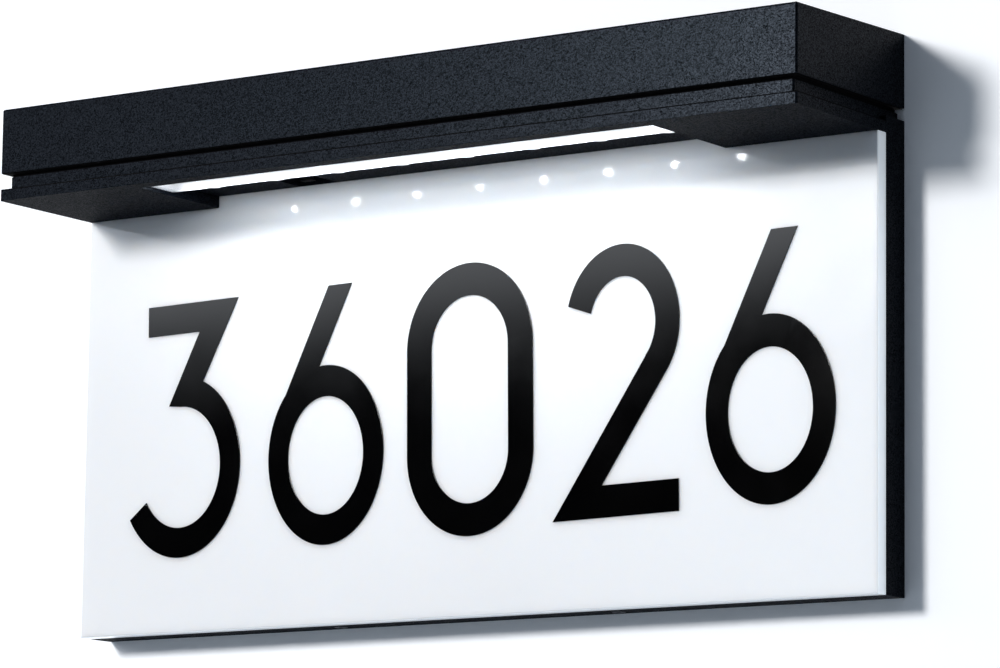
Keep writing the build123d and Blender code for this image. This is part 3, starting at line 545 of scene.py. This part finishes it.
def solarGlass():
    # A thin clear sheet: gloss over what lies beneath
    finish = Finish("solarGlass", (0.02, 0.025, 0.035), 0.06)
    finish.vary(finish.noise(0.03, detail=4.0), 0.04, 0.09)
    clear = finish.nodes.new("ShaderNodeBsdfTransparent")
    clear.inputs["Color"].default_value = (0.93, 0.96, 0.97, 1)
    fresnel = finish.nodes.new("ShaderNodeFresnel")
    fresnel.inputs["IOR"].default_value = 1.5
    mix = finish.nodes.new("ShaderNodeMixShader")
    finish.links.new(finish.spread(fresnel.outputs["Fac"], 0.12, 1.0, 0.0, 1.0), mix.inputs["Fac"])
    finish.links.new(clear.outputs["BSDF"], mix.inputs[1])
    finish.links.new(finish.shader.outputs["BSDF"], mix.inputs[2])
    finish.links.new(mix.outputs["Shader"], finish.nodes["Material Output"].inputs["Surface"])
    return finish.material


def solarCell():
    # Blue-black silicon with fine silver fingers across it
    fingers = {"pitch": 0.0020, "edge": (0.00180, 0.00182), "color": (0.035, 0.040, 0.055)}
    finish = Finish("solarCell", (0.005, 0.009, 0.026), 0.3, coat=0.3)
    finish.tint(finish.grains(0.004), (0.008, 0.014, 0.040))
    turns = finish.nodes.new("ShaderNodeMath")
    turns.operation = "WRAP"
    turns.inputs[1].default_value = 0.0
    turns.inputs[2].default_value = fingers["pitch"]
    finish.links.new(finish.axes()["Y"], turns.inputs[0])
    finish.tint(finish.spread(turns.outputs["Value"], 0.0, 1.0, *fingers["edge"]), fingers["color"])
    return finish.material


def solarBacking():
    finish = Finish("solarBacking", (0.012, 0.013, 0.016), 0.55)
    finish.tint(finish.noise(0.003, detail=3.0), (0.02, 0.021, 0.025))
    return finish.material


def circuitBoard():
    finish = Finish("circuitBoard", (0.008, 0.075, 0.038), 0.35, coat=0.3)
    traces = finish.nodes.new("ShaderNodeTexBrick")
    traces.inputs["Scale"].default_value = 90.0
    traces.inputs["Mortar Size"].default_value = 0.03
    traces.inputs["Color1"].default_value = (0, 0, 0, 1)
    traces.inputs["Color2"].default_value = (0, 0, 0, 1)
    traces.inputs["Mortar"].default_value = (1, 1, 1, 1)
    finish.links.new(finish.place, traces.inputs["Vector"])
    finish.tint(traces.outputs["Fac"], (0.02, 0.17, 0.085), 0.8)
    return finish.material


def cellWrap():
    finish = Finish("cellWrap", (0.02, 0.10, 0.30), 0.3, coat=0.4)
    finish.tint(finish.noise(0.01, detail=3.0), (0.015, 0.08, 0.25))
    return finish.material


def wirePlastic(name, color):
    finish = Finish(name, color, 0.38)
    finish.tint(finish.noise(0.003, detail=2.0), shade(color, 0.8))
    finish.vary(finish.noise(0.002), 0.32, 0.46)
    return finish.material


def plainMetal(name, color, roughness):
    grain, stretch = 0.004, (1, 1, 12)
    finish = Finish(name, color, roughness, metallic=1.0)
    finish.tint(finish.noise(grain, detail=4.0, stretch=stretch), shade(color, 0.8))
    finish.vary(finish.noise(grain, detail=3.0, stretch=stretch), roughness - 0.08, roughness + 0.1)
    finish.bump(finish.noise(0.0008, detail=2.0, stretch=stretch), 0.000008)
    return finish.material


def zincSteel():
    # Zinc crystals, each a little lighter or darker and turned a little from the next
    finish = Finish("zincSteel", (0.42, 0.43, 0.44), 0.42, metallic=1.0)
    crystals = finish.grains(0.0045)
    finish.tint(crystals, (0.34, 0.35, 0.365))
    finish.tint(finish.noise(0.03, detail=4.0), (0.28, 0.29, 0.30), 0.35)
    finish.vary(crystals, 0.34, 0.46, 0.0, 1.0)
    finish.bump(finish.noise(0.0015, detail=3.0), 0.00001)
    return finish.material


# One finish for each material slot of the record
finishes = {
    "powder_coat": powderCoat(),
    "seal_rubber": sealRubber(),
    "clear_lens": clearLens(),
    "lamp": lampCase(),
    "lamp_board": lampBoard(),
    "component": componentBlack(),
    "connector_plastic": naturalNylon(),
    "switch_plastic": mouldedBlack("switchPlastic", (0.003, 0.003, 0.004), 0.6, 0.12),
    "switch_metal": plainMetal("switchMetal", (0.55, 0.56, 0.58), 0.32),
    "contact_metal": plainMetal("contactMetal", (0.72, 0.71, 0.68), 0.25),
    "inner_plastic": mouldedBlack(),
    "white_acrylic": whiteAcrylic(),
    "foam_tape": foamTape(),
    "numeral_black": numeralBlack(),
    "solar_glass": solarGlass(),
    "solar_cell": solarCell(),
    "solar_backing": solarBacking(),
    "circuit_board": circuitBoard(),
    "cell_wrap": cellWrap(),
    "wire_red": wirePlastic("wireRed", (0.42, 0.02, 0.02)),
    "wire_white": wirePlastic("wireWhite", (0.7, 0.7, 0.68)),
    "zinc_steel": zincSteel(),
    "stainless": plainMetal("stainless", (0.60, 0.59, 0.57), 0.28),
}

blackScrew = plainMetal("blackScrew", (0.035, 0.035, 0.04), 0.45)

slotOfNode = {part["node"]: part["material_slot"] for part in frame["record"]["subparts"]}
for nodeName, node in frame["nodes"].items():
    node.data.materials.clear()
    node.data.materials.append(finishes[slotOfNode[nodeName]])
frame["nodes"]["locking_screws"].data.materials[0] = blackScrew
print("finishes given to", len(frame["nodes"]), "nodes")


def editMode(piece, selectAll=False):
    makeActive(piece)
    bpy.ops.object.mode_set(mode="EDIT")
    bpy.ops.mesh.select_mode(type="VERT")
    bpy.ops.mesh.select_all(action="SELECT" if selectAll else "DESELECT")


def selectFaces(piece, test):
    # The test gets a face's centre and normal
    bpy.ops.mesh.select_mode(type="FACE")
    bpy.ops.mesh.select_all(action="DESELECT")
    bpy.ops.object.mode_set(mode="OBJECT")
    for face in piece.data.polygons:
        face.select = bool(test(piece.matrix_world @ face.center, face.normal))
    bpy.ops.object.mode_set(mode="EDIT")


def objectMode():
    bpy.ops.object.mode_set(mode="OBJECT")


bevelSetup = {"segments": 2, "sharperThan": 38.0, "smoothUpTo": 32.0, "weight": 100}  # angles in degrees


def applyBevel(piece, width):
    makeActive(piece)
    bevel = piece.modifiers.new("softEdges", "BEVEL")
    bevel.width = width
    bevel.segments = bevelSetup["segments"]
    bevel.limit_method = "ANGLE"
    bevel.angle_limit = math.radians(bevelSetup["sharperThan"])
    bevel.use_clamp_overlap = True
    bpy.ops.object.modifier_apply(modifier="softEdges")
    bpy.ops.object.shade_smooth_by_angle(angle=math.radians(bevelSetup["smoothUpTo"]))
    weighted = piece.modifiers.new("flatFaces", "WEIGHTED_NORMAL")
    weighted.weight = bevelSetup["weight"]
    weighted.keep_sharp = True
    bpy.ops.object.modifier_apply(modifier="flatFaces")


def applyPlace(piece):
    makeActive(piece)
    bpy.ops.object.transform_apply(location=True, rotation=True, scale=True)


def addBox(name, low, high):
    center = (Vector(low) + Vector(high)) / 2
    bpy.ops.mesh.primitive_cube_add(size=1, location=center)
    piece = bpy.context.object
    piece.name = name
    piece.scale = Vector(high) - Vector(low)
    applyPlace(piece)
    return piece


def rowPlaces(count, pitch, shift=0.0):
    # Where the pieces of a row stand along X, with its middle at the shift
    return [(index - (count - 1) / 2) * pitch + shift for index in range(count)]


def copyAcross(first, name, distance):
    piece = link(name, first.data.copy())
    piece.data.transform(Matrix.Translation((distance, 0, 0)))
    return piece


def finishPiece(piece, slot, body="sign", replaces=(), material=None):
    if material or not piece.data.materials:
        piece.data.materials.clear()
        piece.data.materials.append(material or finishes[slot])
    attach(piece, body)
    if replaces:
        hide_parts(*replaces)


# The coated castings and the cut plates, with the slightly rounded edges that coating and cutting leave
edgeWidths = {
    "upper_housing": 0.00025,
    "light_tray": 0.00015,
    "bottom_plate": 0.00025,
    "back_plate": 0.00030,
    "wall_bracket": 0.00030,
    "solar_cover": 0.00040,
    "switch_knob": 0.00025,
    "numeral_three": 0.00012,
    "numeral_six_left": 0.00012,
    "numeral_zero": 0.00012,
    "numeral_two": 0.00012,
    "numeral_six_right": 0.00012,
}


# A thin black sheet between the tray and the bottom plate: a painted shadow line, dark where the joint's gap would
# be in shade
shadowLineSetup = {"thickness": 0.00045, "inset": 0.0003, "width": 0.004}
softenSetup = {"joinWithin": 0.000001, "flatUpTo": 0.8, "topZone": 0.00001}  # metres and degrees


def softenNode(nodeName, width, setup):
    piece = link(nodeName + "_finished", frame["nodes"][nodeName].data.copy())
    editMode(piece, selectAll=True)
    bpy.ops.mesh.remove_doubles(threshold=setup["joinWithin"])
    bpy.ops.mesh.dissolve_limited(angle_limit=math.radians(setup["flatUpTo"]))
    objectMode()
    if nodeName == "bottom_plate":
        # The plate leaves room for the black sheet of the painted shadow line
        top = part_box(nodeName)[1].z
        for vertex in piece.data.vertices:
            if vertex.co.z > top - setup["topZone"]:
                vertex.co.z -= shadowLineSetup["thickness"]
    applyBevel(piece, width)
    body = "switch" if nodeName == "switch_knob" else "sign"
    finishPiece(piece, slotOfNode[nodeName], body=body, replaces=[nodeName])


for nodeName, width in edgeWidths.items():
    softenNode(nodeName, width, softenSetup)
print("edges softened on", len(edgeWidths), "pieces")


# Painted shadow: a black sheet that draws the dark line of the joint
def addShadowLineSheet(setup):
    low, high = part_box("bottom_plate")
    deselectAll()
    bpy.ops.mesh.primitive_plane_add(size=1, location=((low + high) / 2).xy.to_3d() + Vector((0, 0, high.z)))
    paintedShadowSheet = bpy.context.object
    paintedShadowSheet.name = "plate_shadow_line"
    paintedShadowSheet.scale = (high.x - low.x - 2 * setup["inset"], high.y - low.y - 2 * setup["inset"], 1)
    applyPlace(paintedShadowSheet)
    editMode(paintedShadowSheet, selectAll=True)
    bpy.ops.mesh.inset(thickness=setup["width"])
    bpy.ops.mesh.delete(type="FACE")
    bpy.ops.mesh.select_all(action="SELECT")
    bpy.ops.mesh.extrude_region_move(TRANSFORM_OT_translate={"value": (0, 0, -setup["thickness"])})
    bpy.ops.mesh.select_all(action="SELECT")
    bpy.ops.mesh.normals_make_consistent(inside=False)
    objectMode()
    finishPiece(paintedShadowSheet, "seal_rubber")


addShadowLineSheet(shadowLineSetup)


# The hood's seal has a thin lip that lines the overhang over the groove
sealLipSetup = {"thickness": 0.00035, "inset": 0.0006, "width": 0.0040, "edge": 0.0001}


def addSealLip(setup):
    low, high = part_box("upper_housing")
    corners = (
        (low.x + setup["inset"], low.y + setup["inset"], low.z - setup["thickness"]),
        (high.x - setup["inset"], high.y - setup["inset"], low.z),
    )
    lip = addBox("seal_lip", *corners)
    editMode(lip)
    selectFaces(lip, lambda center, normal: abs(normal.z) > 0.9)
    bpy.ops.mesh.inset(thickness=setup["width"])
    bpy.ops.mesh.bridge_edge_loops()
    objectMode()
    applyBevel(lip, setup["edge"])
    finishPiece(lip, "seal_rubber")


addSealLip(sealLipSetup)
print("gasket and seal lip modelled")


# The slide switch's knob has ridges under the fingertip
knobSetup = {"ridges": 5, "pitch": 0.0013, "width": 0.0006, "height": 0.00022, "margin": 0.0005}


def addKnobRidges(setup):
    low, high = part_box("switch_knob")
    places = rowPlaces(setup["ridges"], setup["pitch"], (low.x + high.x) / 2)
    first = addBox(
        "knob_ridge_1",
        (places[0] - setup["width"] / 2, low.y + setup["margin"], low.z - setup["height"]),
        (places[0] + setup["width"] / 2, high.y - setup["margin"], low.z + setup["height"]),
    )
    applyBevel(first, setup["height"] / 2)
    for index, place in enumerate(places):
        ridge = copyAcross(first, "knob_ridge_%d" % (index + 1), place - places[0]) if index else first
        finishPiece(ridge, "switch_plastic", body="switch")


addKnobRidges(knobSetup)


# Two flat silver ribbons run down each solar cell
ribbonSetup = {
    "cells": 12,
    "pitch": 0.0244,
    "offset": 0.0058,
    "width": 0.0011,
    "thickness": 0.00009,
    "margin": 0.0008,
    "edgeZone": 0.0005,  # how near a corner of the cells has to be to their front or back edge
}


def addRibbons(setup):
    low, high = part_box("solar_cells")
    corners = [vertex.co for vertex in frame["nodes"]["solar_cells"].data.vertices]
    front = max(corner.z for corner in corners if corner.y < low.y + setup["edgeZone"])
    back = max(corner.z for corner in corners if corner.y > high.y - setup["edgeZone"])
    slope = math.atan2(back - front, high.y - low.y)
    length = math.hypot(back - front, high.y - low.y) - 2 * setup["margin"]
    middle = Vector((0, (low.y + high.y) / 2, (front + back) / 2 + setup["thickness"] / 3))
    cells = rowPlaces(setup["cells"], setup["pitch"])
    places = [cell + side * setup["offset"] for cell in cells for side in (-1, 1)]
    bpy.ops.mesh.primitive_cube_add(size=1, location=middle + Vector((places[0], 0, 0)), rotation=(slope, 0, 0))
    first = bpy.context.object
    first.name = "cell_ribbon_1"
    first.scale = (setup["width"], length, setup["thickness"])
    applyPlace(first)
    for index, place in enumerate(places):
        ribbon = copyAcross(first, "cell_ribbon_%d" % (index + 1), place - places[0]) if index else first
        finishPiece(ribbon, "solar_cell", material=finishes["contact_metal"])


addRibbons(ribbonSetup)
print("knob ridges and cell ribbons modelled")


# The lens: a clear strip with a rim that is held in the seal, and a belly below it
lensSetup = {
    "rim": 0.0013,
    "belly": 0.0008,
    "edge": 0.0003,
    "tabs": 8,
    "tabPitch": 0.0327,
    "tabShift": 0.0078,
    "tabRadius": 0.0038,
    "tabDepth": 0.0006,
}


def makeLens(setup):
    lens = addBox("lens_moulded", *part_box("lens"))
    editMode(lens)
    selectFaces(lens, lambda center, normal: normal.z < -0.9)
    bpy.ops.mesh.inset(thickness=setup["rim"])
    bpy.ops.mesh.extrude_region_move(TRANSFORM_OT_translate={"value": (0, 0, -setup["belly"])})
    objectMode()
    applyBevel(lens, setup["edge"])
    finishPiece(lens, "clear_lens", replaces=["lens"])
    # Tabs behind the strip, one by each lamp
    low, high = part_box("lens")
    places = rowPlaces(setup["tabs"], setup["tabPitch"], setup["tabShift"])
    bpy.ops.mesh.primitive_cylinder_add(
        vertices=32,
        radius=setup["tabRadius"],
        depth=setup["tabDepth"],
        location=(places[0], high.y, low.z + setup["tabDepth"] / 2),
    )
    first = bpy.context.object
    first.name = "lens_tab_1"
    applyPlace(first)
    applyBevel(first, setup["edge"])
    for index, place in enumerate(places):
        tab = copyAcross(first, "lens_tab_%d" % (index + 1), place - places[0]) if index else first
        finishPiece(tab, "clear_lens")


makeLens(lensSetup)
print("lens modelled")


# Eight lamps: a white case with a stepped cup, and a lit dome that stands below it
lampSetup = {
    "count": 8,
    "pitch": 0.0327,
    "y": -0.05705,
    "case": (0.0035, 0.0028),
    "bottom": 0.0962,
    "top": 0.0970,
    "cup": 0.0003,
    "cupDepth": 0.00035,
    "edge": 0.00012,
    "domeRadius": 0.00125,
    "domeMiddle": 0.0001,  # above the case's foot, as is the cut that ends the dome
    "domeCut": 0.0002,
    "domeSmoothUpTo": 40.0,
    "leadWidth": 0.0004,
    "leadDepth": 0.00025,
    "leadShare": 0.6,  # of the case's width
    "leadEdge": 0.00006,
}


def makeLamps(setup):
    places = rowPlaces(setup["count"], setup["pitch"])
    x, y, bottom, top = places[0], setup["y"], setup["bottom"], setup["top"]
    halfLength, halfWidth = (side / 2 for side in setup["case"])
    leadHalf = halfWidth * setup["leadShare"]
    case = addBox("lamp_case_1", (x - halfLength, y - halfWidth, bottom), (x + halfLength, y + halfWidth, top))
    editMode(case)
    selectFaces(case, lambda center, normal: normal.z < -0.9)
    bpy.ops.mesh.inset(thickness=setup["cup"])
    bpy.ops.mesh.extrude_region_move(TRANSFORM_OT_translate={"value": (0, 0, setup["cupDepth"])})
    bpy.ops.mesh.inset(thickness=setup["cup"] / 2)
    objectMode()
    applyBevel(case, setup["edge"])
    leads = []
    for side in (-1, 1):
        lead = addBox(
            "lead",
            (x + side * halfLength - setup["leadWidth"] / 2, y - leadHalf, top - setup["leadDepth"]),
            (x + side * halfLength + setup["leadWidth"] / 2, y + leadHalf, top),
        )
        applyBevel(lead, setup["leadEdge"])
        lead.data.materials.clear()
        lead.data.materials.append(finishes["contact_metal"])
        leads.append(lead)
    case.data.materials.clear()
    case.data.materials.append(finishes["lamp"])
    deselectAll()
    for part in (*leads, case):
        part.select_set(True)
    bpy.context.view_layer.objects.active = case
    bpy.ops.object.join()
    bpy.ops.mesh.primitive_uv_sphere_add(
        segments=24, ring_count=12, radius=setup["domeRadius"], location=(x, y, bottom + setup["domeMiddle"])
    )
    dome = bpy.context.object
    dome.name = "lamp_dome_1"
    applyPlace(dome)
    editMode(dome, selectAll=True)
    cut = (x, y, bottom + setup["domeCut"])
    bpy.ops.mesh.bisect(plane_co=cut, plane_no=(0, 0, 1), clear_outer=True, use_fill=True)
    objectMode()
    bpy.ops.object.shade_smooth_by_angle(angle=math.radians(setup["domeSmoothUpTo"]))
    glow = lampDome()
    for index, place in enumerate(places):
        for first, label in ((case, "lamp_case"), (dome, "lamp_dome")):
            piece = copyAcross(first, "%s_%d" % (label, index + 1), place - x) if index else first
            if label == "lamp_dome":
                finishPiece(piece, "lamp", material=glow)
            else:
                finishPiece(piece, "lamp", replaces=["led_chips"] if not index else ())


makeLamps(lampSetup)


# What the lamps send down through the lens, and the points of light that the face panel reflects
lampLightSetup = {
    "color": (0.90, 0.95, 1.0),
    "beam": {"power": 0.225, "length": 0.236, "width": 0.0022, "y": -0.0565, "z": 0.0938},
    "point": {"power": 0.0095, "radius": 0.0018, "y": -0.0565, "z": 0.0942},
}


def addLampLights(lamps, setup):
    values = setup["beam"]
    data = bpy.data.lights.new("lamp_beam", "AREA")
    data.shape = "RECTANGLE"
    data.size, data.size_y = values["length"], values["width"]
    data.energy = values["power"]
    beam = link("lamp_beam", data)
    beam.location = (0, values["y"], values["z"])
    beam.visible_glossy = False
    lights = [beam]
    values = setup["point"]
    for index, place in enumerate(rowPlaces(lamps["count"], lamps["pitch"])):
        data = bpy.data.lights.new("lamp_point", "POINT")
        data.energy = values["power"]
        data.shadow_soft_size = values["radius"]
        point = link("lamp_point_%d" % (index + 1), data)
        point.location = (place, values["y"], values["z"])
        lights.append(point)
    for light in lights:
        light.data.color = setup["color"]
        light.visible_camera = False


addLampLights(lampSetup, lampLightSetup)
print("lamps modelled")
